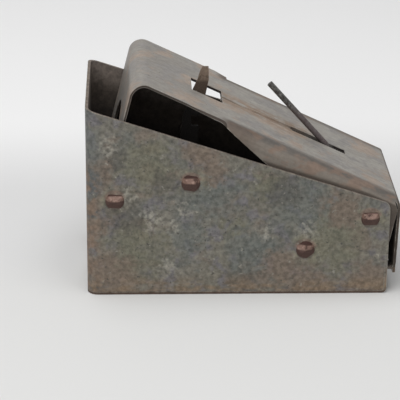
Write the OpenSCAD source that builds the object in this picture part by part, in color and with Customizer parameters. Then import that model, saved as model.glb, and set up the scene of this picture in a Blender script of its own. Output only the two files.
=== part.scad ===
// Choker mouse trap of folded sheet steel.
// A spring lifts a jaw inside a wedge-shaped box; a bent bar and a catch hold it down when it is set.
// The model stands as the trap does after it has sprung: jaw up, bar standing out of its slit.
// X runs along the box from the tall entrance end (-X) to the low hinge end (+X), Z is up,
// and the origin is the middle of the underside.

/* [Box] */
// Length of the box over its end plate
body_l = 110; // [88:1:134]
// Width of the box over its side walls
body_w = 58; // [46:1:72]
// Height of the entrance wall
tall_h = 72; // [66:1:80]
// Height of the side walls at the low end
low_h = 35.6; // [32:0.2:40]
// Thickness of the sheet steel
sheet = 1; // [0.8:0.1:1.2]
// Outer radius of the two wrapped corners
corner_r = 4; // [2:0.5:5]
// Width of the flanges that stand on the floor
flange_w = 6; // [5:0.5:8]
// Height of the turned-up end plate
end_plate_h = 16; // [12:0.5:17]

/* [Entrance] */
// Diameter of the entrance hole
entry_d = 28; // [22:1:30]
// Height of the middle of the entrance hole
entry_z = 22; // [18:1:24]

/* [Pins] */
// Diameter of the cross pins
pin_d = 3.2; // [2.6:0.2:3.8]
// Diameter of the domed pin heads
head_d = 6.8; // [5.6:0.2:8]
// Height of the domed pin heads
head_h = 2.2; // [1.6:0.1:2.8]
// Distance of the neck pin from the entrance end
neck_in = 10.3; // [9.8:0.1:12]
// Height of the neck pin
neck_z = 37.2; // [37.2:0.2:40]
// Distance of the trigger pin from the entrance end
trigger_in = 37.6; // [33:0.2:42]
// Height of the trigger pin
trigger_z = 44; // [40:0.2:46]
// Distance of the bar pin from the hinge end
bar_in = 30.4; // [28:0.2:32]
// Height of the bar pin
bar_z = 17.7; // [14:0.1:20]
// Distance of the jaw pin from the hinge end
jaw_in = 7.1; // [6.6:0.1:8]
// Height of the jaw pin
jaw_z = 29.9; // [29:0.1:31]

/* [Jaw] */
// Angle that the jaw turns through between sprung and set
jaw_open = 11; // [9:0.5:11]
// Slope of the lid above the slope of the side walls, with the trap sprung
lid_lift = 7.1; // [6:0.1:8]
// Distance of the lid's top from the jaw pin's axis
lid_off = 10.2; // [9.8:0.1:11]
// Distance from the entrance end to the fold at the front of the lid
front_in = 17; // [16:0.1:17.2]
// Length of the front wall from its fold
front_l = 59.4; // [54:0.2:59.6]
// Lean of the front wall from upright, with the trap sprung
front_lean = 14; // [13:0.5:14.5]
// Radius of the fold between the front wall and the lid
front_r = 5; // [3:0.5:6]
// Radius of the folds between the lid and the skirts
fold_r = 4.5; // [3:0.5:5]
// Width of the opening in the front wall
mouth_w = 31; // [24:1:34]
// Distance from the front fold to the top of that opening
mouth_top = 18; // [13:0.5:20]
// Width of the sill under that opening
sill_w = 6.4; // [5:0.2:8]
// Length of the flap at the hinge end
flap_l = 28.3; // [22:0.1:28.4]
// Length of the hole for the catch, along the lid
hole_l = 12.5; // [12:0.5:15]
// Width of the hole for the catch
hole_w = 13; // [10:0.5:16]
// Width of the slit for the bar
slit_w = 4; // [3.4:0.1:5]

/* [Bar and catch] */
// Diameter of the locking bar
bar_d = 2.2; // [1.8:0.1:2.4]
// Angle that the bar turns through between sprung and set
bar_throw = 31; // [30:0.5:32]
// Height of the catch above the trigger pin
tongue_h = 34.3; // [30:0.1:38]
// Lean of the catch's tip to the hinge side
tongue_lean = 6; // [5:0.5:7]
// Thickness of the catch and of the bait arm
strip_t = 1.2; // [1:0.1:1.6]

/* [Spring] */
// Diameter of the spring wire
wire_d = 1.4; // [1:0.1:1.6]
// Mean diameter of the coil
coil_d = 8; // [7.6:0.2:9]
// Length of the coil between its two legs
coil_l = 12; // [12:0.5:16]

/* [Hidden] */
$fn = 48;
eps = 0.01;

// Clearances
jaw_gap = 0.3;      // jaw to the side walls, and stop tabs to the end plate
pin_gap = 0.05;     // pin to a drilled hole
rivet_gap = 0.02;   // rivet to its hole
sleeve_gap = 0.1;   // sleeve ends to their neighbours
bar_side_gap = 0.2; // bar's eye and catch to the sleeves
groove_gap = 0.35;  // bar to the groove it lies in
wall_gap = 0.2;     // side walls' cut-out to the end plate
bend_gap = 0.05;    // side walls' corner to the bend under the end plate
floor_gap = 0.3;    // spring's legs to the floor and to the lid

// Box
x_left = -body_l / 2;
x_right = body_l / 2;
y_wall = body_w / 2;
y_in = y_wall - sheet;
wall_slope = atan((tall_h - low_h) / body_l);

// Pins, as [x, z]
pin_r = pin_d / 2;
bore_r = pin_r + pin_gap;
neck = [x_left + neck_in, neck_z];
trigger = [x_left + trigger_in, trigger_z];
bar_at = [x_right - bar_in, bar_z];
hinge = [x_right - jaw_in, jaw_z];
washer_t = 0.8;
washer_r = head_d / 2;
peen_r = 2.6;
peen_h = 1.3;
sleeve_r = bore_r + 0.85;

// Each head is hammered to two flats that meet in a ridge: the ridge's turn from level, and how far
// the upper and the lower flat reach from the axis at the wall, in head radii
neck_flats = [-4, 0.76, 0.8];
trigger_flats = [-10, 0.88, 0.86];
bar_flats = [38, 0.94, 0.9];
jaw_flats = [2, 0.7, 0.76];
ridge_up = 0.14;      // ridge above the axis, in head radii
ridge_h = 0.93;       // ridge from the wall, in head heights

// Turning and the jaw's own axes: p runs down the lid towards the hinge end, w is square to the lid
function turn(v, a) = [v.x * cos(a) - v.y * sin(a), v.x * sin(a) + v.y * cos(a)];
function about(c, v, a) = c + turn(v - c, a);
function to_jaw(v) = turn(v - hinge, lid_slope);
function from_jaw(v) = hinge + turn(v, -lid_slope);
function toward(a) = [cos(a), sin(a)];
function arc(c, r, a0, a1, n = 10) = [for (i = [0:n]) c + r * toward(a0 + (a1 - a0) * i / n)];

// Jaw
lid_slope = wall_slope + lid_lift;
jaw_half = y_in - jaw_gap;
lid_under = lid_off - sheet;
front_x = x_left + front_in;
front_p = (front_x - hinge.x - lid_off * sin(lid_slope)) / cos(lid_slope);
front_dir = lid_slope - 90 - front_lean;
turned_p = front_p + front_r * tan(90 + front_dir / 2); // where the front fold runs out into the lid
flap_p = 7.4;
flap_lean = 1.8;      // from upright, with the trap sprung
flap_dir = lid_slope - 90 - flap_lean;
flap_r = 4;
skirt_p = -67.7;      // where the skirts run out into the flat of the lid
skirt_fall = 18;      // angle between the skirt's front edge and the lid
skirt_far_p = -60.5;  // the far one is squared off to here
edge_taper_l = 5.3;   // the flat's far edge narrows to the skirt over this length
trim_l = 11;          // the flat's near edge widens to the skirt over this length
trim_half = 24.2;     // half width of the lid along that edge
foot_taper = 2.2;     // each side of the front wall draws in by this much at its foot
taper_start = 7;
ear_r = 11.1;
ear_end = 290;        // angle at which the ear's round edge meets the gusset under the flap
gusset_top = [7.9, 6.5];
gusset_low = [10.9, -5.6];
gusset_in = 4.6;
tab_w = 6;
tab_t = 0.8;
tab_z = 9.1;
tab_in = 3;           // tab's height above the flap's lower edge

// Bar: the tip lies on the set lid beside the catch, and turns back by bar_throw when it is sprung
bar_r = bar_d / 2;
tip_reach = 3.6;      // tip from the trigger pin's axis, along the box, when set
tip_rise = 0.25;      // tip's underside above the set lid
set_slope = lid_slope - jaw_open;
lid_mark = about(hinge, from_jaw([0, lid_off + bar_r + tip_rise]), jaw_open);
tip_set_x = trigger.x + tip_reach;
tip_set = [tip_set_x, lid_mark.y - (tip_set_x - lid_mark.x) * tan(set_slope)];
tip = about(bar_at, tip_set, -bar_throw);
bend = from_jaw([-19.25, lid_off - 0.7]);
bend_set = about(bar_at, bend, bar_throw);
groove_bend = to_jaw(about(hinge, bend_set, -jaw_open));
groove_tip = to_jaw(about(hinge, tip_set, -jaw_open));
eye_r = bore_r + 2.2;
eye_half = bar_r + 0.1;
bar_bend_r = 3;
bend_swell = 0.03;    // the bent stretch is thicker by this much
bend_lap = 0.15;      // and the straight stretches run into it by this much
slit_p0 = groove_bend.x - bar_r - 0.6;
slit_p1 = -12.4;

// Hole for the catch: its middle stands this far from the trigger pin, with the trap sprung
hole_off = 6.5;
hole_x = trigger.x + hole_off;
hole_p = (hole_x - hinge.x - lid_off * sin(lid_slope)) / cos(lid_slope);

// Catch and bait arm, from the trigger pin's axis
half_t = strip_t / 2;
notch = tip_set - trigger;
nose = notch + [-0.35, bar_r + 0.5];
notch_depth = 2.7;
notch_drop = bar_r + 1.2;
notch_slope = 0.5;
hub_r = bore_r + 2.55;
lug_reach = 12.2;
lug_half = 2.8;
bait_rivet_x = [-6.8, -10.4];
bait_rivet_r = 0.9;
bait_head_r = 1.6;
bait_head_h = 0.8;

// Spring
wire_r = wire_d / 2;
coil_r = coil_d / 2;
upper_leg = 30;
upper_rise = asin((lid_under - wire_r - floor_gap - coil_r) / upper_leg);
upper_dir = 180 - upper_rise - lid_slope;
lower_dir = 222;
lower_leg = (hinge.y + coil_r * sin(lower_dir + 90) - sheet - wire_r - floor_gap) / -sin(lower_dir);
wire_space = 0.5;     // least space between neighbouring turns
leg_turn = (upper_dir - lower_dir - 180) / 360; // share of a turn that the legs' directions add
turns = floor(coil_l / (wire_d + wire_space) - leg_turn);
coil_a0 = lower_dir + 90;
coil_a1 = coil_a0 + (turns + leg_turn) * 360;
steps_per_turn = 8;

// A flat outline in x and z, given a thickness from y0 to y1
module slab(y0, y1) translate([0, y1, 0]) rotate([90, 0, 0]) linear_extrude(y1 - y0) children();

// The same, in the jaw's own axes
module in_jaw() translate([hinge.x, 0, hinge.y]) rotate([0, lid_slope, 0]) children();

// A cylinder along y through a point in x and z
module across(at, r, y0, y1) translate([at.x, y1, at.y]) rotate([90, 0, 0]) cylinder(r = r, h = y1 - y0);

// A round bar between two points in x and z
module rod(a, b, r) translate([a.x, 0, a.y]) rotate([0, 90 - atan2(b.y - a.y, b.x - a.x), 0])
    cylinder(r = r, h = norm(b - a));

// A dome of radius r and height h standing on z = 0
module dome(r, h) {
    big = (r * r + h * h) / (2 * h);
    rotate_extrude() polygon(concat([[0, 0]], arc([0, h - big], big, asin((big - h) / big), 90, 8)));
}

// The same, standing on a wall at y and pointing away from the middle of the box
module dome_out(at, y, r, h) translate([at.x, y, at.y]) rotate([y < 0 ? 90 : -90, 0, 0]) dome(r, h);

// ---- box ----

bend_r = 2;
top_round_r = 3;
rivet_in = 17;
rivet_x = [x_left + rivet_in, 0, x_right - rivet_in];
rivet_y = y_in - flange_w / 2 - 0.5;
rivet_r = 1.2;
rivet_head_r = 2.2;
rivet_head_h = 1.2;
sink_r = 2.1;
sink_h = 0.6;

module rivet_holes(r, sink) {
    for (x = rivet_x, s = [-1, 1]) translate([x, s * rivet_y, 0]) {
        translate([0, 0, -1]) cylinder(r = r, h = 2 * sheet + 2);
        if (sink) translate([0, 0, -eps]) cylinder(r1 = sink_r + rivet_gap, r2 = r, h = sink_h + eps);
    }
}

// Plan of the box, set in from the outside by d
module plan(d) {
    r = corner_r - d;
    translate([x_left + corner_r, -y_wall + d]) square([body_l - corner_r, body_w - 2 * d]);
    translate([x_left + d, -y_wall + corner_r]) square([corner_r, body_w - 2 * corner_r]);
    for (s = [-1, 1]) translate([x_left + corner_r, s * (y_wall - corner_r)]) circle(r);
}

module base_plate() {
    color("dimgray") difference() {
        union() {
            intersection() {
                linear_extrude(sheet) plan(0);
                translate([x_left, -y_wall, 0]) cube([body_l - bend_r, body_w, sheet]);
            }
            slab(-y_wall, y_wall) polygon(concat(
                arc([x_right - bend_r, bend_r], bend_r, -90, 0, 6),
                [[x_right, end_plate_h], [x_right - sheet, end_plate_h]],
                arc([x_right - bend_r, bend_r], bend_r - sheet, 0, -90, 6)));
        }
        rivet_holes(rivet_r + rivet_gap, true);
    }
}

// Side view of the box: level floor line, sloping top, rounded at the low end
module side_outline() {
    drop = top_round_r * tan((90 - wall_slope) / 2);
    c = [x_right - top_round_r, low_h - drop];
    polygon(concat(
        [[x_left - 1, sheet], [x_left - 1, tall_h + tan(wall_slope)]],
        arc(c, top_round_r, 90 - wall_slope, 0, 6),
        [[x_right, end_plate_h + wall_gap], [x_right - sheet, end_plate_h + wall_gap]],
        arc([x_right - bend_r, bend_r], bend_r - sheet - bend_gap, 0, -90, 6),
        [[x_right - bend_r - 2 * bend_gap, sheet]]));
}

module body_shell() {
    color("slategray") difference() {
        intersection() {
            linear_extrude(tall_h) difference() {
                plan(0);
                plan(sheet);
                translate([x_right - 3, -y_in]) square([6, 2 * y_in]);
            }
            slab(-y_wall, y_wall) side_outline();
        }
        for (at = [neck, trigger, bar_at, hinge]) across(at, bore_r, -y_wall - 1, y_wall + 1);
        translate([x_left - 1, 0, entry_z]) rotate([0, 90, 0]) cylinder(d = entry_d, h = corner_r + 1);
    }
    color("slategray") difference() {
        for (s = [-1, 1]) translate([x_left + corner_r, s * (y_in - flange_w / 2) - flange_w / 2, sheet])
            cube([body_l - corner_r - 2 * sheet, flange_w, sheet]);
        rivet_holes(rivet_r + rivet_gap, false);
    }
}

module base_rivets() {
    color("gray") for (x = rivet_x, s = [-1, 1]) translate([x, s * rivet_y, 0]) {
        cylinder(r1 = sink_r, r2 = rivet_r, h = sink_h);
        cylinder(r = rivet_r, h = 2 * sheet);
        translate([0, 0, 2 * sheet]) dome(rivet_head_r, rivet_head_h);
    }
}

// ---- pins ----

// What a hammered flat takes off a dome that stands on z = 0; the flat runs from the line at y = reach
// on the wall up to the ridge
module flat_cut(reach) {
    r = head_d / 2;
    foot = [reach * r, 0];
    crest = [ridge_up * r, ridge_h * head_h];
    step = (crest - foot) / norm(crest - foot);
    out = [sign(reach) * 2 * head_d, 0];
    low = foot - 0.5 * step;
    high = crest + 2 * step;
    rotate([90, 0, 90]) linear_extrude(2 * head_d, center = true)
        polygon([low, high, high + out, low + out]);
}

module pin_head(at, flats) translate([at.x, -y_wall, at.y]) rotate([90, 0, 0]) difference() {
    dome(head_d / 2, head_h);
    rotate([0, 0, flats[0]]) {
        flat_cut(flats[1]);
        flat_cut(-flats[2]);
    }
}

// Hammered head outside the near wall, shank across the box, peened end over the far washer
module cross_pin(at, flats) {
    color("saddlebrown") {
        across(at, pin_r, -y_wall - eps, y_wall + washer_t + eps);
        pin_head(at, flats);
        dome_out(at, y_wall + washer_t, peen_r, peen_h);
    }
}

module washer(at) color("sienna") difference() {
    across(at, washer_r, y_wall, y_wall + washer_t);
    across(at, bore_r, y_wall - 1, y_wall + washer_t + 1);
}

module sleeve(at, y0, y1, r = sleeve_r) color("gray") difference() {
    across(at, r, y0, y1);
    across(at, bore_r, y0 - 1, y1 + 1);
}

// ---- jaw ----

// Side view of the sheet: front wall, lid and flap in one strip, in the jaw's own axes
module strip_outline() {
    c1 = [turned_p, lid_off - front_r];
    c2 = [flap_p + flap_r * tan(flap_dir / 2), lid_off - flap_r];
    foot = [front_p, lid_off] + front_l * toward(front_dir);
    toe = [flap_p, lid_off] + flap_l * toward(flap_dir);
    polygon(concat(
        [foot],
        arc(c1, front_r, 270 + front_dir, 90, 14),
        arc(c2, flap_r, 90, 90 + flap_dir, 8),
        [toe, toe + sheet * toward(flap_dir - 90)],
        arc(c2, flap_r - sheet, 90 + flap_dir, 90, 8),
        arc(c1, front_r - sheet, 90, 270 + front_dir, 14),
        [foot + sheet * toward(front_dir + 90)]));
}

// Cross-section of the lid and skirts, filled, set in by d
module section(d) {
    r = fold_r - d;
    low = -2 * ear_r;
    translate([-jaw_half + d, low]) square([2 * (jaw_half - d), lid_off - fold_r - low]);
    translate([-jaw_half + fold_r, low]) square([2 * (jaw_half - fold_r), lid_off - d - low]);
    for (s = [-1, 1]) translate([s * (jaw_half - fold_r), lid_off - fold_r]) circle(r);
}

// The same, run along the lid from p0 to p1
module section_bar(d, p0, p1) translate([p0, 0, 0]) rotate([90, 0, 90]) linear_extrude(p1 - p0) section(d);

// Rounds the long edges of the lid where the skirts are folded down from it
module fold_cut() for (s = [-1, 1]) {
    start = s < 0 ? skirt_p - trim_l : skirt_far_p;
    translate([start, 0, 0]) rotate([90, 0, 90]) linear_extrude(flap_p + flap_r - start) difference() {
        translate([s > 0 ? jaw_half - fold_r : -jaw_half - 1, lid_off - fold_r]) square(fold_r + 1);
        translate([s * (jaw_half - fold_r), lid_off - fold_r]) circle(fold_r);
    }
}

// Side view of a skirt and its ear round the jaw pin
module skirt_outline() {
    touch = ear_r * toward(270 - skirt_fall);
    start = [touch.x - (lid_off - touch.y) / tan(skirt_fall), lid_off];
    polygon(concat([start], arc([0, 0], ear_r, 270 - skirt_fall, ear_end, 8),
        [gusset_low, gusset_top, [gusset_in, lid_off]]));
}

// The opening in the front wall, drawn down the wall from the fold
module mouth_outline() {
    r = mouth_w / 2;
    translate([mouth_top + r, 0]) circle(r);
    translate([mouth_top + r, -r]) square([front_l - sill_w - mouth_top - r, mouth_w]);
}

// What is cut from the lid's long edges in front of the skirts: on the near side all that stands past
// the fold, on the far side only a taper
module edge_trim() {
    fold_in = fold_r - sqrt(fold_r * fold_r - pow(fold_r - sheet, 2));
    clear = jaw_half + 1;
    skirt_half = jaw_half - fold_in - 0.1;
    linear_extrude(3 * fold_r) {
        polygon([[turned_p, -clear], [turned_p, -trim_half], [skirt_p - trim_l, -trim_half],
            [skirt_p, -skirt_half], [skirt_p, -clear]]);
        polygon([[skirt_far_p - edge_taper_l, clear], [skirt_far_p - edge_taper_l, jaw_half + 0.1],
            [skirt_far_p, skirt_half], [skirt_far_p, clear]]);
    }
    translate([turned_p - front_r, 0, lid_off - front_r]) rotate([0, -45, 0])
        linear_extrude(4 * front_r, center = true)
            polygon([[0, -clear], [0, -jaw_half], [sqrt(2) * front_r, -trim_half], [sqrt(2) * front_r, -clear]]);
}

// What is cut from the front wall's sides, drawn down the wall from the fold
module foot_taper_cut() {
    clear = jaw_half + 1;
    for (s = [-1, 1]) polygon([[taper_start, s * clear], [taper_start, s * (jaw_half + bend_gap)],
        [front_l + 1, s * (jaw_half - foot_taper)], [front_l + 1, s * clear]]);
}

module front_cuts() linear_extrude(2 * fold_r, center = true) {
    mouth_outline();
    foot_taper_cut();
}

module jaw() {
    color("lightslategray") in_jaw() difference() {
        union() {
            slab(-jaw_half, jaw_half) strip_outline();
            intersection() {
                difference() {
                    section_bar(0, skirt_p, flap_p + 2 * flap_r);
                    section_bar(sheet, skirt_p - 1, flap_p + 3 * flap_r);
                }
                slab(-jaw_half, jaw_half) skirt_outline();
            }
            groove_shell();
        }
        across([0, 0], bore_r, -body_w, body_w);
        fold_cut();
        edge_trim();
        translate([hole_p - hole_l / 2, -hole_w / 2, 0]) cube([hole_l, hole_w, 2 * lid_off]);
        translate([slit_p0, -slit_w / 2, 0]) cube([slit_p1 - slit_p0, slit_w, 2 * lid_off]);
        groove(bar_r + groove_gap);
        translate([front_p, 0, lid_off]) rotate([0, -front_dir, 0]) front_cuts();
    }
    color("lightslategray") for (s = [-1, 1]) stop_tab(s);
}

// Round channel along the place where the bar lies when the trap is set
module groove(r) intersection() {
    rod(groove_bend, groove_tip + bar_d * toward(180), r);
    translate([hole_p, -slit_w, 0]) cube([slit_p0 - hole_p, 2 * slit_w, 2 * lid_off]);
}

// The pressed-down sheet under that channel
module groove_shell() intersection() {
    groove(bar_r + groove_gap + sheet);
    translate([hole_p + hole_l / 2, -slit_w, 0])
        cube([slit_p0 - hole_p - hole_l / 2, 2 * slit_w, lid_off - sheet / 2]);
}

// Tab bent in from the flap's edge; it meets the end plate and stops the jaw
module stop_tab(s) {
    y0 = s > 0 ? jaw_half - tab_w : -jaw_half;
    flap_at = from_jaw([flap_p, lid_off] + (flap_l - tab_in) * toward(flap_dir));
    start = x_right + jaw_gap;
    translate([start, y0, tab_z]) cube([flap_at.x - sheet / 2 - start, tab_w, tab_t]);
}

// ---- spring ----

// Points of the spring's centre line, each with the angle at which it leaves the coil's axis
coil_steps = floor((coil_a1 - coil_a0) / 360 * steps_per_turn);
coil_angles = [for (i = [0:coil_steps]) coil_a0 + (coil_a1 - coil_a0) * i / coil_steps];
coil_points = [for (i = [0:coil_steps]) coil_point(coil_angles[i], coil_l * (i / coil_steps - 0.5))];
function coil_point(a, y) = [hinge.x + coil_r * cos(a), y, hinge.y + coil_r * sin(a)];
function leg_point(start, dir, reach) = start + reach * [cos(dir), 0, sin(dir)];
spring_angles = concat([coil_a0], coil_angles, [coil_a1]);
spring_points = concat([leg_point(coil_points[0], lower_dir, lower_leg)], coil_points,
    [leg_point(coil_points[coil_steps], upper_dir, upper_leg)]);

// Least gap between the wire and itself, measured between points at least half a turn apart
leg_marks = concat([for (d = [wire_d:wire_d:lower_leg]) leg_point(coil_points[0], lower_dir, d)],
    [for (d = [wire_d:wire_d:upper_leg]) leg_point(coil_points[coil_steps], upper_dir, d)]);
half_turn = steps_per_turn / 2;
turn_gaps = [for (i = [0:coil_steps - half_turn], j = [i + half_turn:coil_steps])
    norm(coil_points[i] - coil_points[j])];
leg_gaps = [for (m = leg_marks, i = [half_turn:coil_steps - half_turn]) norm(m - coil_points[i])];
echo(spring_self_gap = min(concat(turn_gaps, leg_gaps)) - wire_d);

// A tube of round section through the points; each ring lies in the outward and the y direction
module wire(points, angles, r, sides = 6) {
    n = len(points);
    ring = [for (i = [0:n - 1], k = [0:sides - 1])
        let (out = [cos(angles[i]), 0, sin(angles[i])], t = 360 * k / sides)
            points[i] + r * (cos(t) * out + sin(t) * [0, 1, 0])];
    skin = [for (i = [0:n - 2], k = [0:sides - 1])
        let (a = i * sides + k, b = i * sides + (k + 1) % sides)
            each [[a, b, b + sides], [a, b + sides, a + sides]]];
    last = (n - 1) * sides;
    caps = [for (k = [1:sides - 2]) each [[0, k + 1, k], [last, last + k, last + k + 1]]];
    polyhedron(ring, concat(skin, caps));
}

module jaw_spring() color("dimgray") wire(spring_points, spring_angles, wire_r);

// ---- bar, catch and bait arm ----

// Elbow of a round bar in the x and z plane, about c, from angle a0 on by the angle a
module elbow(c, bend_radius, r, a0, a) translate([c.x, 0, c.y]) rotate([90, 0, 0]) rotate([0, 0, a0])
    rotate_extrude(angle = a) translate([bend_radius, 0]) circle(r);

module locking_bar() {
    low_dir = (bend - bar_at) / norm(bend - bar_at);
    top_dir = (tip - bend) / norm(tip - bend);
    low_angle = atan2(low_dir.y, low_dir.x);
    turned = atan2(top_dir.y, top_dir.x) - low_angle;
    reach = bar_bend_r * tan(turned / 2);
    start = bend - reach * low_dir;
    centre = start + bar_bend_r * toward(low_angle + 90);
    color("dimgray") difference() {
        union() {
            rod(bar_at, start + bend_lap * low_dir, bar_r);
            elbow(centre, bar_bend_r, bar_r + bend_swell, low_angle - 90, turned);
            rod(bend + (reach - bend_lap) * top_dir, tip, bar_r);
            across(bar_at, eye_r, -eye_half, eye_half);
        }
        across(bar_at, bore_r, -body_w, body_w);
    }
}

// Outline of the catch above its pin; the notch takes the bar's tip under its nose
module catch_outline() {
    deep = notch.x - notch_depth;
    lip = notch.y - notch_drop;
    top = [tongue_lean, tongue_h];
    polygon([top + [-1.1, 0], top + [1.1, 0], top + [1.2, -4.8], top + [0.1, -10.6],
        nose + [0.9, 1.3], nose, [deep, nose.y + notch_slope], [deep, lip], [nose.x + 0.3, lip],
        [3.6, 4], [0, -3], [-3.4, 2], [-2.9, 9], [-2.2, 15], [0, 20.5],
        top + [-4.5, -8.5], top + [-2.9, -5], top + [-1.9, -1.6]]);
}

// Bores for the two rivets between the catch's lug and the bait arm
module bait_bores() {
    for (x = bait_rivet_x) across(trigger + [x, 0], bait_rivet_r + rivet_gap, -body_w, body_w);
}

module catch_plate() color("sienna") difference() {
    union() {
        slab(-half_t, half_t) translate(trigger) catch_outline();
        slab(-half_t, half_t) translate(trigger - [lug_reach, lug_half]) square([lug_reach, 2 * lug_half]);
        across(trigger, hub_r, -half_t, half_t);
    }
    across(trigger, bore_r, -body_w, body_w);
    bait_bores();
}

// Flat arm that reaches down towards the entrance and ends in a hook for the bait
module bait_arm() color("peru") difference() {
    slab(half_t, 3 * half_t) translate(trigger)
        polygon([[-4.8, -2.3], [-4.8, 2.3], [-12.6, 2.3], [-15.2, 0.4], [-18.6, -7.4], [-21.4, -4.6],
            [-22.2, -5.4], [-19.6, -11], [-17, -10.4], [-12.6, -2.3]]);
    bait_bores();
}

module bait_rivets() color("gray") for (x = bait_rivet_x) {
    at = trigger + [x, 0];
    across(at, bait_rivet_r, -half_t - eps, 3 * half_t + eps);
    dome_out(at, -half_t, bait_head_r, bait_head_h);
    dome_out(at, 3 * half_t, bait_head_r, bait_head_h);
}

half_bar = eye_half + bar_side_gap;
half_catch = half_t + bar_side_gap;
sleeve_end = y_in - sleeve_gap;
ear_in = jaw_half - sheet - sleeve_gap;

base_plate();
body_shell();
base_rivets();
jaw();
cross_pin(neck, neck_flats);  // neck_pin
cross_pin(trigger, trigger_flats);  // trigger_pin
cross_pin(bar_at, bar_flats);  // bar_pin
cross_pin(hinge, jaw_flats);  // jaw_pin
washer(neck);  // neck_pin_washer
washer(trigger);  // trigger_pin_washer
washer(bar_at);  // bar_pin_washer
washer(hinge);  // jaw_pin_washer
sleeve(trigger, -sleeve_end, -half_catch);  // trigger_sleeve_near
sleeve(trigger, half_catch, sleeve_end);  // trigger_sleeve_far
sleeve(bar_at, -sleeve_end, -half_bar);  // bar_sleeve_near
sleeve(bar_at, half_bar, sleeve_end);  // bar_sleeve_far
sleeve(hinge, -ear_in, ear_in);  // jaw_sleeve
jaw_spring();
locking_bar();
catch_plate();  // catch
bait_arm();
bait_rivets();
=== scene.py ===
# %% [markdown]
# # Box mouse trap of folded sheet steel
# A wedge-shaped box holds a sprung inner jaw. A bent bar and a flat catch lock the jaw down when it is set.
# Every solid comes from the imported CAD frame, in metres, with the floor at z = 0 and X running from the
# tall entrance end to the low hinge end. This file adds the camera, the light, the finishes and the spring.

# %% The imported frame
import math

import bmesh
import bpy
from mathutils import Matrix, Vector


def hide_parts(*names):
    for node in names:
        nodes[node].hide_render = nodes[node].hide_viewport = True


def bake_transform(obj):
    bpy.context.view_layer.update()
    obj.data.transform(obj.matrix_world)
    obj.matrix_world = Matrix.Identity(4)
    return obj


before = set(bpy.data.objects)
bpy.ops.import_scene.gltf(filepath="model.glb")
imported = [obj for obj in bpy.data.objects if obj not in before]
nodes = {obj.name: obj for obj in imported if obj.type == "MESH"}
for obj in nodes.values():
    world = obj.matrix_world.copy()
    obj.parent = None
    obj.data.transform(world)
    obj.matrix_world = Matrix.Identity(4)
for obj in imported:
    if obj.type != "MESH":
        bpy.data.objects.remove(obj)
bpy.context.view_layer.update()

MM = 0.001
print("CAD nodes:", len(nodes))

# %% [markdown]
# ## Where the camera looks
# The view looks 23 degrees down on the near side wall, so the lid, its hole and its slit are all seen. Three
# angles set it: to the side, down, and about the line of sight. They could go into one rotation, but built as
# three directions they read as what they are: where the camera looks, its right hand and its up.

# %% Where the camera looks
YAW, PITCH, ROLL = (math.radians(angle) for angle in (2.2033, 22.9547, 0.5795))
forward = Vector((math.sin(YAW) * math.cos(PITCH), math.cos(YAW) * math.cos(PITCH), -math.sin(PITCH)))
level = Vector((math.cos(YAW), -math.sin(YAW), 0))
upright = level.cross(forward)
right = math.cos(ROLL) * level + math.sin(ROLL) * upright
up = math.cos(ROLL) * upright - math.sin(ROLL) * level
print("looks along", tuple(round(part, 3) for part in forward))

# %% [markdown]
# ## Camera
# A long lens from about two thirds of a metre keeps the box's upright edges nearly parallel. A wide lens from
# close by would spread them. The lens is worked out for a picture 400 pixels wide on a 36 mm sensor.

# %% Camera
PICTURE = 400
FOCAL_PIXELS = 1832.89
SENSOR_MM = 36
STANDS_AT = (-0.037403, -0.635766, 0.294750)
lens = bpy.data.cameras.new("camera")
lens.sensor_width = SENSOR_MM
lens.lens = FOCAL_PIXELS * SENSOR_MM / PICTURE
lens.clip_start, lens.clip_end = 0.01, 20
camera = bpy.data.objects.new("camera", lens)
turn = Matrix((right, up, -forward)).transposed().to_4x4()
camera.matrix_world = Matrix.Translation(STANDS_AT) @ turn
bpy.context.scene.collection.objects.link(camera)
bpy.context.scene.camera = camera
print("lens", round(lens.lens, 2), "mm")

# %% [markdown]
# ## Colours and nodes
# Colours are written as the hex values that a picture shows, and one function turns them to the linear values
# that Cycles works in. Linear values could be typed in directly, but a colour picker gives hex ones. One more
# function adds a shader node with its settings and its links.

# %% Colour and node helpers
def colour(code):
    """Linear RGBA of an sRGB hex colour."""
    parts = [int(code[i:i + 2], 16) / 255 for i in (0, 2, 4)]
    return (*(c / 12.92 if c <= 0.04045 else ((c + 0.055) / 1.055) ** 2.4 for c in parts), 1)


def node(tree, kind, inputs=(), **settings):
    """Adds a node. inputs maps a socket's name or number to a value or to another node's output."""
    made = tree.nodes.new("ShaderNode" + kind)
    for key, value in settings.items():
        setattr(made, key, value)
    for key, value in dict(inputs).items():
        if isinstance(value, bpy.types.NodeSocket):
            tree.links.new(value, made.inputs[key])
        else:
            made.inputs[key].default_value = value
    return made


print("mid grey in linear light:", round(colour("808080")[0], 3))

# %% [markdown]
# ## Floor and backdrop
# The trap stands on one sheet of pale paper that runs back and curves up behind it. A plane and a wall would
# show a line where they meet. A bmesh strip has none: its back edge is spun through a quarter turn for the
# bend and then pulled straight up.

# %% Paper sweep
PAPER_HALF = 1.5
BEND_START, BEND_RADIUS, WALL_TOP = 0.9, 0.5, 1.6
sweep = bmesh.new()
bmesh.ops.create_grid(sweep, x_segments=1, y_segments=1, size=0.5)
bmesh.ops.scale(sweep, vec=(2 * PAPER_HALF, BEND_START + PAPER_HALF, 1), verts=sweep.verts)
bmesh.ops.translate(sweep, vec=(0, (BEND_START - PAPER_HALF) / 2, 0), verts=sweep.verts)
back = [edge for edge in sweep.edges if all(abs(end.co.y - BEND_START) < 1e-6 for end in edge.verts)]
ends = [end for edge in back for end in edge.verts]
bend = bmesh.ops.spin(sweep, geom=back + ends, cent=(0, BEND_START, BEND_RADIUS), axis=(1, 0, 0),
                      angle=math.pi / 2, steps=24, use_duplicate=False)
top = [part for part in bend["geom_last"] if isinstance(part, bmesh.types.BMEdge)]
pulled_up = bmesh.ops.extrude_edge_only(sweep, edges=top)["geom"]
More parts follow.
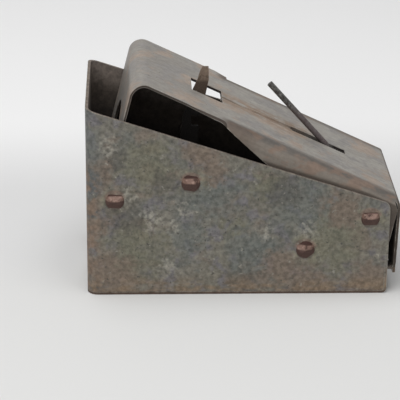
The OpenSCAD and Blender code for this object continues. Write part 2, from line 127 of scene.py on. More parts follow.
rising = [part for part in pulled_up if isinstance(part, bmesh.types.BMVert)]
bmesh.ops.translate(sweep, vec=(0, 0, WALL_TOP - BEND_RADIUS), verts=rising)
bmesh.ops.recalc_face_normals(sweep, faces=sweep.faces)
print("paper faces:", len(sweep.faces))

# %% [markdown]
# ## The paper in the scene
# A bmesh is only a workbench. Smooth shading hides the bend's 24 steps, and is lighter than the hundreds of
# steps that would hide themselves.

# %% The paper in the scene
paper_mesh = bpy.data.meshes.new("paper")
sweep.to_mesh(paper_mesh)
sweep.free()
for face in paper_mesh.polygons:
    face.use_smooth = True
paper = bpy.data.objects.new("paper", paper_mesh)
bpy.context.scene.collection.objects.link(paper)
print("paper size:", [round(side, 2) for side in paper.dimensions], "m")

# %% [markdown]
# ## Paper finish
# Uncoated paper is matt: rough, with hardly any shine, so it takes a soft shadow and no reflection. Painted
# shade makes it a shade darker at the trap's foot, and painted light makes it lighter behind it. Two smooth
# steps along its depth do that, and they are wide enough to show no line.

# %% Paper finish
paper_finish = bpy.data.materials.new("matt white paper")
paper_finish.use_nodes = True
tree = paper_finish.node_tree
shader = tree.nodes["Principled BSDF"]
shader.inputs["Roughness"].default_value = 0.9
shader.inputs["Specular IOR Level"].default_value = 0.2
place = node(tree, "TexCoord").outputs["Object"]
depth = node(tree, "SeparateXYZ", {0: place}).outputs["Y"]
tone = colour("dcdcdb")
# Painted shade at the trap's foot, painted light behind it.
for start, end, code in ((-30, 20, "dadada"), (60, 160, "f3f3f3")):
    step = node(tree, "MapRange", {0: depth, 1: start * MM, 2: end * MM}, interpolation_type="SMOOTHSTEP")
    tone = node(tree, "Mix", {0: step.outputs[0], 6: tone, 7: colour(code)}, data_type="RGBA").outputs[2]
tree.links.new(tone, shader.inputs["Base Color"])
paper_mesh.materials.append(paper_finish)
print("finish:", paper_finish.name)

# %% [markdown]
# ## Light
# A wide soft box hangs over the trap and a weaker one stands in front of it, so the lid is about twice as
# bright as the side wall and every edge keeps a soft line. A small lamp would do the same with hard shadows,
# which bare steel shows badly.

# %% Lamps
def soft_box(name, stands, aim, size, watts):
    """A square area lamp that stands at one point and is turned towards another."""
    lamp = bpy.data.lights.new(name, "AREA")
    lamp.size, lamp.energy = size, watts
    held = bpy.data.objects.new(name, lamp)
    held.location = stands
    held.rotation_euler = (Vector(aim) - Vector(stands)).to_track_quat("-Z", "Y").to_euler()
    bpy.context.scene.collection.objects.link(held)


TRAP_MIDDLE = (0, 0, 0.04)
soft_box("overhead box", (-0.15, -0.15, 0.9), TRAP_MIDDLE, 0.8, 6.4)
soft_box("front box", (-0.3, -1.0, 0.5), TRAP_MIDDLE, 0.7, 1.8)

# %% [markdown]
# ## World
# The world adds an even fill. A ring of weak lamps could do that too, but each would add a shadow. Rays from
# the camera, and rays that a surface mirrors or lets through, see the world brighter than the light it gives,
# so that worn metal mirrors a pale studio and not a dark room.

# %% World
FILL, SEEN = 0.42, 0.7
world = bpy.data.worlds.new("studio")
world.use_nodes = True
bpy.context.scene.world = world
sky = world.node_tree
rays = node(sky, "LightPath").outputs
seen = 0.0
for ray in ("Is Camera Ray", "Is Glossy Ray", "Is Transmission Ray"):
    seen = node(sky, "Math", {0: seen, 1: rays[ray]}, operation="ADD", use_clamp=True).outputs[0]
strength = node(sky, "MapRange", {0: seen, 3: FILL, 4: SEEN}).outputs[0]
background = sky.nodes["Background"]
background.inputs["Color"].default_value = colour("f4f4f4")
sky.links.new(strength, background.inputs["Strength"])
bpy.context.scene.view_settings.view_transform = "Standard"
print("world fill:", FILL)

# %% [markdown]
# ## How the steel has aged
# The trap is pressed from tinned mild steel. Over the years the tin dulls to an uneven grey, wears through
# in patches and along the edges, and lets brown rust bloom there. Each finish here is a ground colour with
# layers over it, and each layer has a mask that says where it lies. A mask is noise, for marks that fall
# anywhere, or a zone, for marks that belong to a place. A painted picture could do the same on one flat
# wall, but masks on the piece's own coordinates run on round every fold.

# %% Masks
def patches(tree, place, size, low, high, detail=4.0, stretch=(1, 1, 1)):
    """Soft patches about size mm wide: 0 where the noise is under low, 1 where it is over high."""
    if stretch != (1, 1, 1):
        place = node(tree, "Mapping", {"Vector": place, "Scale": stretch}).outputs[0]
    settings = {"Vector": place, "Scale": 1 / (size * MM), "Detail": detail, "Roughness": 0.6}
    noise = node(tree, "TexNoise", settings).outputs[0]
    return node(tree, "MapRange", {0: noise, 1: low, 2: high}, interpolation_type="SMOOTHSTEP").outputs[0]


def zone(tree, *steps):
    """1 where all steps hold. A step is a mask, or (length, start, end) in mm: 0 at start, 1 at end."""
    shared = 1.0
    for step in steps:
        if isinstance(step, tuple):
            length, start, end = step
            limits = {0: length, 1: start * MM, 2: end * MM}
            step = node(tree, "MapRange", limits, interpolation_type="SMOOTHSTEP").outputs[0]
        shared = node(tree, "Math", {0: shared, 1: step}, operation="MULTIPLY").outputs[0]
    return shared


print("mask functions:", patches.__name__, "and", zone.__name__)

# %% [markdown]
# ## Stains and worn edges
# A stain is a spot at a known place on the side wall with a ragged edge: noise pushes the coordinates about
# before the distance to the spot is measured. A worn edge is found with a Bevel node. It rounds the shading
# near an arris, and where the rounded normal leaves the face's own one, there is an edge. How alike the two
# normals are is a cosine, 1 on a flat face. Painting either by hand would need a picture for each wall.

# %% Stains and worn edges
WALL_Y = -29
RAGGED_SIZE = 2.5
ON_FLAT, AT_EDGE = 0.99, 0.86


def stains(tree, place, spots, ragged):
    """Ragged marks on the near side wall, each (x, z, radius) in mm. ragged is how far their edges wander."""
    settings = {"Vector": place, "Scale": 1 / (RAGGED_SIZE * MM), "Detail": 4.0}
    wander = node(tree, "TexNoise", settings).outputs[1]
    wander = node(tree, "VectorMath", {0: wander, 1: (0.5, 0.5, 0.5)}, operation="SUBTRACT").outputs[0]
    reach = [2 * ragged * MM] * 3
    place = node(tree, "VectorMath", {0: wander, 1: reach, 2: place}, operation="MULTIPLY_ADD").outputs[0]
    marks = 0.0
    for x, z, radius in spots:
        spot = (x * MM, WALL_Y * MM, z * MM)
        away = node(tree, "VectorMath", {0: place, 1: spot}, operation="DISTANCE").outputs["Value"]
        mark = zone(tree, (away, radius, 0.4 * radius))
        marks = node(tree, "Math", {0: marks, 1: mark}, operation="MAXIMUM").outputs[0]
    return marks


def arrises(tree, radius):
    """1 along the sheet's sharp edges, for about radius mm to each side, where handling has worn them."""
    rounded = node(tree, "Bevel", {"Radius": radius * MM}, samples=6).outputs[0]
    true = node(tree, "NewGeometry").outputs["True Normal"]
    alike = node(tree, "VectorMath", {0: rounded, 1: true}, operation="DOT_PRODUCT").outputs["Value"]
    return node(tree, "MapRange", {0: alike, 1: ON_FLAT, 2: AT_EDGE}).outputs[0]


print("stains lie on the wall at y =", WALL_Y, "mm")

# %% [markdown]
# ## Marks round the pins
# The four cross pins leave marks on the wall round their heads, with a painted shadow under each. Their
# heads are painted darker in their lower half and along their tops, for the shade that falls there. All are
# placed by the distance from a pin's axis and the height above it. Each pin could have a material of its own,
# but one helper with a list of the axes, x and z in mm, serves the wall and all the pins.

# %% Marks round the pins
PINS = {"neck": (-44.7, 37.2), "trigger": (-17.4, 44.0), "bar": (24.6, 17.7), "jaw": (47.9, 29.9)}
ANY_HEIGHT = (-99, -98)


def about_pins(tree, place, outer, inner, heights=ANY_HEIGHT):
    """1 within inner mm of a pin's axis and 0 past outer mm, rising over two heights in mm above the axis."""
    marks = 0.0
    for pin_x, pin_z in PINS.values():
        axis = (pin_x * MM, 0, pin_z * MM)
        offset = node(tree, "VectorMath", {0: place, 1: axis}, operation="SUBTRACT").outputs[0]
        offset = node(tree, "VectorMath", {0: offset, 1: (1, 0, 1)}, operation="MULTIPLY").outputs[0]
        away = node(tree, "VectorMath", {0: offset}, operation="LENGTH").outputs["Value"]
        above = node(tree, "SeparateXYZ", {0: offset}).outputs["Z"]
        mark = zone(tree, (away, outer, inner), (above, *heights))
        marks = node(tree, "Math", {0: marks, 1: mark}, operation="MAXIMUM").outputs[0]
    return marks


print("cross pins:", sorted(PINS))

# %% [markdown]
# ## From layers to a metal
# One function starts an empty material and another wires the layers to the shader. The same layers say how
# much of the tin is gone, so rust is rough and dull where it is drawn and nowhere else. Half-worn tin is part
# metal and part dull oxide, so it is given a metallic value well under 1 and a roughness near 0.5.

# %% Layered metal
def new_metal(name):
    """An empty metal: the material, its node tree, its shader and the piece's own coordinates."""
    made = bpy.data.materials.new(name)
    made.use_nodes = True
    tree = made.node_tree
    return made, tree, tree.nodes["Principled BSDF"], node(tree, "TexCoord").outputs["Object"]


def weathered(tree, shader, ground, layers, grain, contrast, gloss, depth):
    """Lays (hex, mask, rust) layers over a ground. gloss is (metallic, smooth, rough), depth is in mm."""
    tint, rust = colour(ground), 0.0
    for code, mask, share in layers:
        tint = node(tree, "Mix", {0: mask, 6: tint, 7: colour(code)}, data_type="RGBA").outputs[2]
        rust = node(tree, "Mix", {0: mask, 2: rust, 3: share}).outputs[0]
    shade = node(tree, "MapRange", {0: grain, 3: contrast[0], 4: contrast[1]}).outputs[0]
    tint = node(tree, "Mix", {0: 1.0, 6: tint, 7: shade}, data_type="RGBA", blend_type="MULTIPLY").outputs[2]
    metal, smooth, rough = gloss
    metallic = node(tree, "MapRange", {0: rust, 3: metal, 4: 0.0}).outputs[0]
    roughness = node(tree, "MapRange", {0: rust, 3: smooth, 4: rough}).outputs[0]
    bump = node(tree, "Bump", {"Height": grain, "Distance": depth * MM, "Strength": 1.0}).outputs[0]
    tree.links.new(tint, shader.inputs["Base Color"])
    tree.links.new(metallic, shader.inputs["Metallic"])
    tree.links.new(roughness, shader.inputs["Roughness"])
    tree.links.new(bump, shader.inputs["Normal"])


print("metal functions:", new_metal.__name__, "and", weathered.__name__)

# %% [markdown]
# ## Height over the sloping rim
# The side walls are cut along one straight slope, from the tall entrance end to the low hinge end. A Mapping
# node set to Texture moves the origin to the tall corner and turns the axes with the slope. Its Z is then the
# height over the rim, below it a negative one.

# %% Height over the sloping rim
BOX_LENGTH, BOX_HALF_WIDTH = 110, 29
TALL_END, LOW_END = 72, 35.6
RIM_SLOPE = math.atan2(TALL_END - LOW_END, BOX_LENGTH)


def over_rim(tree, place):
    """Height over the box's sloping rim, in metres."""
    corner = (-BOX_LENGTH / 2 * MM, 0, TALL_END * MM)
    settings = {"Vector": place, "Location": corner, "Rotation": (0, RIM_SLOPE, 0)}
    turned = node(tree, "Mapping", settings, vector_type="TEXTURE").outputs[0]
    return node(tree, "SeparateXYZ", {0: turned}).outputs["Z"]


print("rim slope", round(math.degrees(RIM_SLOPE), 1), "degrees")

# %% [markdown]
# ## Where the box's sheet is seen
# The wrapped sheet has an outer face, an inner face and a cut edge, and they age apart. The outer face lies
# 4 mm from a box that is 4 mm smaller all round, the inner face 3 mm, and only a cut edge lies between. So
# one length, worked out from the coordinates, tells the three apart. It goes round the corners with the
# sheet, where a limit on one axis would cut them off.

# %% Faces of the box
INSET = 4
smaller_box = (-(BOX_LENGTH / 2 - INSET) * MM, -(BOX_HALF_WIDTH - INSET) * MM, INSET * MM)
tinned_box, tree, shader, place = new_metal("aged tinplate, box")
x, y, z = node(tree, "SeparateXYZ", {0: place}).outputs
beside = node(tree, "Math", {0: y}, operation="ABSOLUTE").outputs[0]
outward = node(tree, "VectorMath", {0: place}, operation="ABSOLUTE").outputs[0]
outward = node(tree, "VectorMath", {0: outward, 1: (1, 1, -1), 2: smaller_box},
               operation="MULTIPLY_ADD").outputs[0]
outward = node(tree, "VectorMath", {0: outward, 1: (0, 0, 0)}, operation="MAXIMUM").outputs[0]
layer_at = node(tree, "VectorMath", {0: outward}, operation="LENGTH").outputs["Value"]
above_rim = over_rim(tree, place)
inside = zone(tree, (layer_at, 3.3, 3.15))
cut_edge = zone(tree, (layer_at, 3.15, 3.3), (layer_at, 3.85, 3.7))
print("outer face", INSET, "mm from the smaller box")

# %% [markdown]
# ## Tinned steel of the box: clouds
# Tinplate is mild steel rolled to about a millimetre and dipped in tin. New, it mirrors softly. Here the tin
# has oxidised to a dull olive grey, a little darker higher up and clouded with lighter, violet and brownish
# greys. Noise of four sizes from 7 to 17 mm makes the clouds, so no single size catches the eye.

# %% Tinned steel of the box: clouds
box_layers = [
    ("7e7a70", patches(tree, place, 17, 0.44, 0.58), 0),
    ("5c5b56", zone(tree, 0.2, (z, 20, 38)), 0),
    ("6d6d67", patches(tree, place, 13, 0.48, 0.62, stretch=(1, 1, 1.3)), 0),
    ("737071", patches(tree, place, 7, 0.5, 0.62), 0),
    ("7b7166", patches(tree, place, 10, 0.52, 0.66, stretch=(0.8, 1, 1.2)), 0.2),
]
print("clouds:", len(box_layers))

# %% [markdown]
# ## Tinned steel of the box: stains on the side wall
# Some marks belong to their place: olive and slate clouds where damp has stood, brown blooms by the pins and
# the floor, a painted bluish reflection down the rounded entrance corner and dark drips. Each pin has a pale
# ring, brown over its head and a painted shadow under it. The places and radii are short lists, and noise
# gives the marks their outlines.

# %% Tinned steel of the box: stains on the side wall
OLIVE = [(-2, 26, 6), (10, 43, 7), (-36, 18, 15), (34, 20, 16), (-32, 51, 14)]
SLATE = [(-9, 39, 13), (22, 35, 15), (4, 18, 12), (-18, 24, 10)]
BLOOMS = [(-51, 47, 9), (-14, 57, 9), (16, 11, 10), (49, 4, 12), (38.5, 33, 9), (-47, 6, 15), (25, 3, 12),
          (-53, 28, 8), (-9, 49, 7)]
CORNER_REFLECTION = [(-54, 2, 7), (-55, 44, 8), (-55, 34, 6)]
DRIPS = [(-40.7, 31, 10), (1, 4, 9), (-27, 44, 7), (-44, 53, 5), (16, 41, 9)]
box_layers += [
    ("73715f", zone(tree, 0.7, stains(tree, place, OLIVE, 7)), 0.1),
    ("686d69", zone(tree, 0.6, stains(tree, place, SLATE, 8)), 0),
    ("7b6c5f", zone(tree, 0.75, stains(tree, place, BLOOMS, 7)), 0.4),
    ("88836f", zone(tree, about_pins(tree, place, 7.5, 4.2), 0.6, patches(tree, place, 5, 0.42, 0.6)), 0.1),
    ("806c60", zone(tree, 0.8, about_pins(tree, place, 4.8, 3.8, (0.6, 1.6))), 0.4),
    # Painted shadow under each pin head.
    ("5a5048", zone(tree, 0.5, about_pins(tree, place, 3.9, 3.5, (-1.2, -2.2))), 0.5),
    # Painted bluish reflection down the rounded entrance corner.
    ("5a6062", zone(tree, 0.8, stains(tree, place, CORNER_REFLECTION, 4)), 0.2),
    ("54504a", zone(tree, 0.5, stains(tree, place, DRIPS, 6)), 0.4),
]
print("layers so far:", len(box_layers))

# %% [markdown]
# ## Tinned steel of the box: specks, scuffs and rust
# Dark specks are pinholes where rust comes through the tin, drawn 1.3 mm wide, coarser than most real ones,
# so that they show. Pale ones are tin that is still bright. Scuffs are fine noise that is let through only at
# their spots, because a rub never covers a whole spot. Rust creeps up from the floor line, where the trap
# stood wet, and up the corners of the entrance end, and the last millimetre over the floor is darkest.

# %% Tinned steel of the box: specks, scuffs and rust
SCUFFS = [(-32.2, 29.8, 6), (-40, 38.5, 5), (-26, 11.5, 4.5), (-20.2, 34.5, 4), (-47, 58, 5), (-24, 27, 4.5),
          (24.6, 25, 5), (9, 24, 4)]
rubbed = patches(tree, place, 1.8, 0.34, 0.7, detail=6)
corner = zone(tree, (x, -48, -53), (beside, 20, 26))
floor_rust = patches(tree, place, 4.5, 0.42, 0.6, stretch=(0.5, 1, 1.2))
box_layers += [
    ("504d48", patches(tree, place, 1.3, 0.62, 0.76, detail=2), 0.6),
    ("928e84", patches(tree, place, 2.4, 0.62, 0.74, detail=3), 0),
    ("9d998e", zone(tree, 0.64, rubbed, stains(tree, place, SCUFFS, 5)), 0),
    ("6b6f6b", zone(tree, corner, 0.7, (z, 40, 52), patches(tree, place, 9, 0.36, 0.5)), 0),
    ("806e5f", zone(tree, corner, (z, 54, 44), patches(tree, place, 4.5, 0.4, 0.56)), 0.6),
    ("87745f", zone(tree, 0.8, (z, 9, 2), floor_rust), 0.7),
    ("54443a", zone(tree, (z, 1.6, 0.7)), 0.9),
]
print("layers so far:", len(box_layers))

# %% [markdown]
# ## Tinned steel of the box: edges and inside
# Hands wear the arrises bright, and the cut edge has no tin at all. The inside is brown at the rim, and
# painted shade takes it nearly black further down. Over all of it lies a mottle of spots of about 1.8 mm. It
# darkens and lightens the layers below and gives the bump its height, so the surface looks pitted where it is
# dark.

# %% Tinned steel of the box: edges and inside
box_layers += [
    ("8f887d", zone(tree, arrises(tree, 0.4), patches(tree, place, 5, 0.36, 0.5)), 0.1),
    ("756a60", cut_edge, 0.6),
    ("7d736b", inside, 0.8),
    # Painted shade inside the box, darker with depth below the rim.
    ("4a423b", zone(tree, inside, (above_rim, -3, -11)), 0.9),
    ("1e1917", zone(tree, inside, (above_rim, -10, -24)), 1),
]
mottle = patches(tree, place, 1.8, 0.28, 0.72, detail=8)
weathered(tree, shader, "7b776c", box_layers, mottle, (0.63, 1.27), (0.3, 0.52, 0.85), 0.06)
print("finish:", tinned_box.name, len(tree.nodes), "nodes")

# %% [markdown]
# ## The lid's own directions
# Streaks and wear run along the lid's slope, and on the level axes they would cross it. So the jaw's patterns
# are laid out in the lid's own directions: a Mapping node moves the origin to the hinge pin and turns the
# axes by the slope. Lengths along the lid then run below zero from the hinge to the front fold, and the top
# of the lid lies 10.2 mm off the hinge.

# %% The lid's own directions
LID_SLOPE = math.radians(25.41)
LID_TOP = 10.2
hinge = Vector((PINS["jaw"][0] * MM, 0, PINS["jaw"][1] * MM))
tinned_jaw, tree, shader, place = new_metal("aged tinplate, jaw")
settings = {"Vector": place, "Location": hinge, "Rotation": (0, LID_SLOPE, 0)}
turned = node(tree, "Mapping", settings, vector_type="TEXTURE").outputs[0]
down_lid, across_lid, off_lid = node(tree, "SeparateXYZ", {0: turned}).outputs
beside = node(tree, "Math", {0: across_lid}, operation="ABSOLUTE").outputs[0]
above_rim = over_rim(tree, place)
x = node(tree, "SeparateXYZ", {0: place}).outputs["X"]
skirted = zone(tree, (down_lid, -66, -61))
print("lid top at", LID_TOP, "mm from the hinge")

# %% [markdown]
# ## Directions and lengths
# The jaw's end walls and the spring's legs are given by angles in the plane of the side wall. One function
# turns an angle to a direction. Another says how far a length has run past a start, and the sheet's faces are
# found from such lengths. Each wall could have a mask of its own instead, but lengths can be joined into one
# that goes round the folds.

# %% Directions and lengths
def toward(angle):
    """Unit vector in the plane of the side wall, turning from X to Z."""
    return Vector((math.cos(angle), 0, math.sin(angle)))


def beyond(tree, length, start):
    """How far a length has run past start mm, or 0 before it."""
    past = node(tree, "Math", {0: length, 1: start * MM}, operation="SUBTRACT").outputs[0]
    return node(tree, "Math", {0: past, 1: 0.0}, operation="MAXIMUM").outputs[0]


print("straight up is", tuple(round(part, 3) for part in toward(math.pi / 2)))

# %% [markdown]
# ## Where the jaw's sheet is seen
# As on the box, one length tells the faces apart. It is 5 mm on the outer faces and 4 mm on the inner ones,
# and it goes round the folds between lid, front wall, flap and skirts. Its three parts are how far a point
# lies past planes that stand 5 mm inside the two ends, the sides and the top. The front fold is sharper than
# a right angle, so a fifth of the part for the ends is added to the part for the top there.

# %% Faces of the jaw
FACE_AT = 5
SKIRT_HALF = 27.7
FRONT_DIRECTION, FRONT_AT = math.radians(166), 56.71
FLAP_DIRECTION, FLAP_AT = math.radians(-1.8), 57.8
FOLD_SKEW = 0.2
past_end = 0.0
for direction, face in ((FRONT_DIRECTION, FRONT_AT), (FLAP_DIRECTION, FLAP_AT)):
    normal = toward(direction)
    along = node(tree, "VectorMath", {0: place, 1: normal}, operation="DOT_PRODUCT").outputs["Value"]
    past_face = beyond(tree, along, face - FACE_AT)
    past_end = node(tree, "Math", {0: past_end, 1: past_face}, operation="MAXIMUM").outputs[0]
past_side = beyond(tree, beside, SKIRT_HALF - FACE_AT)
past_side = node(tree, "Math", {0: past_side, 1: skirted}, operation="MULTIPLY").outputs[0]
past_top = beyond(tree, off_lid, LID_TOP - FACE_AT)
past_top = node(tree, "Math", {0: past_end, 1: FOLD_SKEW, 2: past_top}, operation="MULTIPLY_ADD").outputs[0]
outward = node(tree, "CombineXYZ", {0: past_side, 1: past_top, 2: past_end}).outputs[0]
layer_at = node(tree, "VectorMath", {0: outward}, operation="LENGTH").outputs["Value"]
print("skirts", SKIRT_HALF, "mm to each side")

# %% [markdown]
# ## Inner faces and cut edges of the jaw
# A cut edge lies between the two lengths, an inner face at the smaller one. The groove is pressed down into
# the lid, so by that length alone it would count as an edge, and it is left out of both.

# %% Inner faces and cut edges of the jaw
groove = zone(tree, (down_lid, -78, -76), (down_lid, -16, -18), (beside, 2.2, 1.9))
off_groove = node(tree, "Math", {0: 1.0, 1: groove}, operation="SUBTRACT").outputs[0]
inside = zone(tree, off_groove, (layer_at, 4.15, 4.05))
cut_edge = zone(tree, off_groove, (layer_at, 4.1, 4.25), (layer_at, 4.85, 4.75))
print("faces of the jaw:", len(tree.nodes), "nodes")

# %% [markdown]
# ## Tinned steel of the jaw: the lid
# The jaw is the same sheet, but its lid is what a thumb presses, so the tin there is cleaner and lighter,
# with warm patches and a few specks. It is a shade duller towards the front fold. Rust runs in the groove
# between the hole and the slit and has spread a little to both sides.

# %% Tinned steel of the jaw: the lid
streak = zone(tree, (down_lid, -74, -68), (down_lid, -26, -32))
spread = patches(tree, place, 4, 0.35, 0.55, stretch=(0.6, 1, 1))
jaw_layers = [
    ("a09c95", patches(tree, place, 15, 0.44, 0.58), 0),
    ("8a857f", zone(tree, 0.5, (down_lid, -55, -85)), 0),
    ("908c88", patches(tree, place, 9, 0.48, 0.6), 0),
    ("a09286", patches(tree, place, 10, 0.5, 0.62, stretch=(0.7, 1, 1)), 0.2),
    ("69635d", patches(tree, place, 1.1, 0.68, 0.78, detail=2), 0.5),
    ("8a7665", zone(tree, 0.85, streak, (beside, 9, 3), spread), 0.6),
    ("6f6153", zone(tree, streak, (beside, 1.3, 0.6), patches(tree, place, 6, 0.44, 0.56)), 0.7),
]
print("lid layers:", len(jaw_layers))

# %% [markdown]
# ## Tinned steel of the jaw: folds and skirts
# The folds down to the skirts are darkened, partly by grime and partly by painted shade, with brown blooms
# over it, and a line of painted shade marks where the skirt slips behind the box's rim.

# %% Tinned steel of the jaw: folds and skirts
blooms = patches(tree, place, 5, 0.46, 0.6, stretch=(0.6, 1, 1))
jaw_layers += [
    # Grime and painted shade in the folds down to the skirts.
    ("5a5550", zone(tree, 0.9, skirted, (beside, 19.5, 24)), 0.3),
    ("7b736a", zone(tree, skirted, (beside, 25.2, 27.2)), 0.3),
    ("7e6b5e", zone(tree, 0.8, skirted, (beside, 19.5, 23.5), blooms), 0.6),
    ("5f5045", zone(tree, 0.6, skirted, (beside, 21, 24), (down_lid, -46, -56)), 0.6),
    # Painted shade where the skirt slips behind the box's rim.
    ("544b43", zone(tree, skirted, (beside, 26.9, 27.3), (above_rim, 1.8, 0.5)), 0.6),
]
print("layers so far:", len(jaw_layers))

# %% [markdown]
# ## Tinned steel of the jaw: flap, edges and grain
# The flap at the hinge end is painted nearly black for the shade it stands in, with brown rust on it. The
# inner faces are painted near black for the shade inside the jaw. The cut edges are bare and brown, and
# painted shade makes them darkest round the hole and the slit. Fine streaks run along the lid, as rolled
# sheet has them. They are drawn about 1 mm wide, coarser than real ones, so that they show.

# %% Tinned steel of the jaw: flap, edges and grain
flap = zone(tree, (past_end, 3.4, 4.4), (x, 54, 56))
jaw_layers += [
    # Painted shade: the flap nearly black.
    ("3b332b", flap, 0.8),
    ("5c4a3c", zone(tree, flap, patches(tree, place, 5, 0.5, 0.66)), 0.9),
    ("aaa59c", zone(tree, arrises(tree, 0.35), patches(tree, place, 5, 0.4, 0.55)), 0),
    # Painted shade on the jaw's inner faces.
    ("17120f", inside, 1),
    ("3d342d", cut_edge, 0.8),
    # Painted shade on the cut edges round the hole and the slit.
    ("221a17", zone(tree, cut_edge, (beside, 7.2, 6.8)), 0.9),
]
mottle = patches(tree, place, 1.7, 0.36, 0.66, detail=5)
streaks = patches(tree, turned, 1.1, 0.36, 0.64, detail=3, stretch=(0.12, 1, 1))
grain = node(tree, "Mix", {0: 0.45, 2: mottle, 3: streaks}).outputs[0]
weathered(tree, shader, "9a958e", jaw_layers, grain, (0.86, 1.12), (0.35, 0.5, 0.85), 0.04)
print("finish:", tinned_jaw.name, len(tree.nodes), "nodes")

# %% [markdown]
# ## Rusted and drawn steel of the small parts
# The pins, the catch and the bait arm were never tinned, so they are brown all over, redder where the rust is
# thick and darker where fingers have oiled it. The bar and the spring are drawn wire: dark, with a soft line
# of light along them. The five finishes differ only in their browns or greys, their grain and their gloss, so
# a table holds them.

# %% Colours of the small parts
SMALL = {
    # name: (ground, lighter, darker, patch mm, painted shade below mm, (metallic, smooth, rough))
    "rusted nail steel": ("7a6055", "937a6d", "4a342c", 1.6, 0, (0.25, 0.5, 0.8)),
    "rusted strip steel": ("7c6b5d", "8f7f6e", "54463a", 2.2, 66, (0.2, 0.6, 0.85)),
    "dull rivet steel": ("6b665e", "807a70", "4d4239", 1.8, 0, (0.45, 0.5, 0.8)),
    "dark drawn rod": ("5a5956", "7d7b77", "35312e", 1.0, 30, (0.5, 0.45, 0.75)),
    "oiled spring wire": ("4a4743", "615d57", "3a2e27", 1.5, 0, (0.7, 0.4, 0.7)),
}
# Near black, painted for the shade inside the trap.
SHADE_BLACK = "17120f"
print("finishes in the table:", len(SMALL))

# %% [markdown]
# ## Small steel finishes
# One loop makes a metal from each row. Painted shade turns the strip steel and the rod near black below a set
# height, where they sit inside the trap. Three have more marks of their own: the pin heads are painted darker
# in their lower half and along their tops for the shade there, the catch is darker near the lid and painted
# black under it for the shade inside the jaw, and the bar is purplish from above the slit down.

# %% Small steel finishes
small = {}
for name, (ground, lighter, darker, size, shaded_below, gloss) in SMALL.items():
    made, tree, shader, place = new_metal(name)
    height = node(tree, "SeparateXYZ", {0: place}).outputs["Z"]
    layers = [
        (lighter, patches(tree, place, size, 0.5, 0.68), 0.2),
        (darker, patches(tree, place, 1.4 * size, 0.52, 0.64), 1),
        # Painted shade: near black below the height where the piece goes inside the trap.
        (SHADE_BLACK, zone(tree, (height, shaded_below, shaded_below - 5)), 1),
    ]
    if name == "rusted nail steel":
        # Painted shade on the lower half of each pin head.
        layers.append(("452f29", zone(tree, 0.9, about_pins(tree, place, 9, 8, (0.9, 0.2))), 1))
        # Painted shade along the top of each pin head, where it meets the wall.
        layers.append(("3a2019", about_pins(tree, place, 9, 8, (1.9, 2.4)), 1))
    if name == "rusted strip steel":
        layers.append(("43352b", zone(tree, 0.85, (height, 74.2, 72.2)), 1))
        # Painted shade: black where the catch goes under the lid.
        layers.append((SHADE_BLACK, zone(tree, (height, 67, 63)), 1))
    if name == "dark drawn rod":
        layers.append(("5d4f50", zone(tree, 0.6, (height, 66, 58)), 0.8))
    grain = patches(tree, place, 0.6, 0.35, 0.65, detail=3)
    weathered(tree, shader, ground, layers, grain, (0.88, 1.1), gloss, 0.03)
    small[name] = made
print("small finishes:", len(small))

# %% [markdown]
# ## Jaw spring: its sizes
# A torsion spring sits on the tube between the jaw's ears. Its lower leg pushes on the floor and its upper
# leg lifts the lid. Its coil is seven turns of 1.4 mm wire, less the 255 degrees that the two legs leave
# open, so a little over six. The turns could be counted by hand, but worked out from the directions of the
# legs they always end where the upper leg starts.

# %% Jaw spring: its sizes
WIRE_R, COIL_R, COIL_L = 0.7 * MM, 4 * MM, 12 * MM
LOWER_DIR, UPPER_DIR = math.radians(222), math.radians(146.542)
LOWER_LEG, UPPER_LEG = 37.253 * MM, 30 * MM
WHOLE_TURNS = 7
TURN = WHOLE_TURNS * 2 * math.pi + UPPER_DIR - LOWER_DIR - math.pi
SIDES, STEPS_PER_TURN = 12, 32
lower_leg = LOWER_LEG * toward(LOWER_DIR)
upper_leg = UPPER_LEG * toward(UPPER_DIR)
coil_start = hinge + COIL_R * toward(LOWER_DIR + math.pi / 2) - Vector((0, COIL_L / 2, 0))
print("spring turns:", round(TURN / (2 * math.pi), 2))

# %% [markdown]
# ## Jaw spring: the wire
# A curve with a round bevel could draw the spring, but one ring of vertices does the whole wire. It starts as
# a capped circle at the lower leg's foot, turned to face along the leg. It is extruded along that leg, spun
# with a step along the hinge for the coil, and extruded along the upper leg, with no seam where they meet.

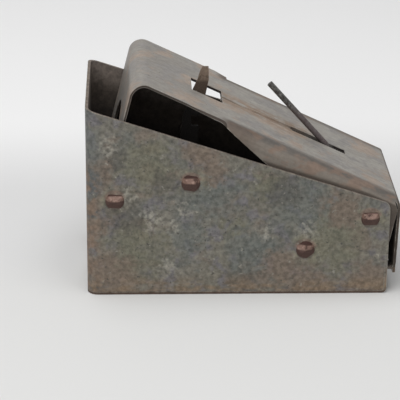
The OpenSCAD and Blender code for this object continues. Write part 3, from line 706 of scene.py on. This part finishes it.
# %% Jaw spring: the wire
wire = bmesh.new()
ring = bmesh.ops.create_circle(wire, segments=SIDES, radius=WIRE_R, cap_ends=True)["verts"]
facing = Vector((0, 0, 1)).rotation_difference(-toward(LOWER_DIR)).to_matrix()
bmesh.ops.rotate(wire, verts=ring, cent=(0, 0, 0), matrix=facing)
bmesh.ops.translate(wire, verts=ring, vec=coil_start + lower_leg)


def pulled(end, vec):
    """Extrudes the wire's end face along vec and returns the new end face."""
    made = bmesh.ops.extrude_discrete_faces(wire, faces=[end])["faces"][0]
    bmesh.ops.translate(wire, verts=made.verts, vec=vec)
    return made


end = pulled(wire.faces[:][0], -lower_leg)
steps = round(TURN / (2 * math.pi) * STEPS_PER_TURN)
coil = bmesh.ops.spin(wire, geom=[end], cent=hinge, axis=(0, -1, 0), dvec=(0, COIL_L / steps, 0),
                      angle=TURN, steps=steps, use_duplicate=False)
end = next(part for part in coil["geom_last"] if isinstance(part, bmesh.types.BMFace))
pulled(end, upper_leg)
bmesh.ops.recalc_face_normals(wire, faces=wire.faces)
print("spring faces:", len(wire.faces))

# %% [markdown]
# ## The spring's piece
# The coil winds on by the jaw's angle. The piece is one still mesh, and stands for the plain solid that the
# CAD holds in its place. The wire is smooth all round, and only its two end faces stay flat.

# %% Spring on the box and the jaw
spring_mesh = bpy.data.meshes.new("jaw_spring_wire")
wire.to_mesh(spring_mesh)
wire.free()
for face in spring_mesh.polygons:
    face.use_smooth = len(face.vertices) == 4
spring = bpy.data.objects.new("jaw_spring_wire", spring_mesh)
bpy.context.scene.collection.objects.link(spring)
spring_mesh.materials.append(small["oiled spring wire"])
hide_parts("jaw_spring")
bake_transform(spring)
print("spring spans", COIL_L / MM, "mm of the hinge")

# %% [markdown]
# ## Finishes on the CAD pieces
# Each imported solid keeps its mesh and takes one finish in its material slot. The pins share one finish by
# their name's ending, and what the table leaves out is a washer, a sleeve or a rivet.

# %% Finishes on the CAD pieces
WEARS = {
    "body_shell": tinned_box, "base_plate": tinned_box, "jaw": tinned_jaw,
    "locking_bar": small["dark drawn rod"], "catch": small["rusted strip steel"],
    "bait_arm": small["rusted strip steel"],
}
for name, piece in nodes.items():
    if name.endswith("_pin"):
        finish = small["rusted nail steel"]
    else:
        finish = WEARS.get(name, small["dull rivet steel"])
    piece.data.materials.clear()
    piece.data.materials.append(finish)
print("finished:", len(nodes))
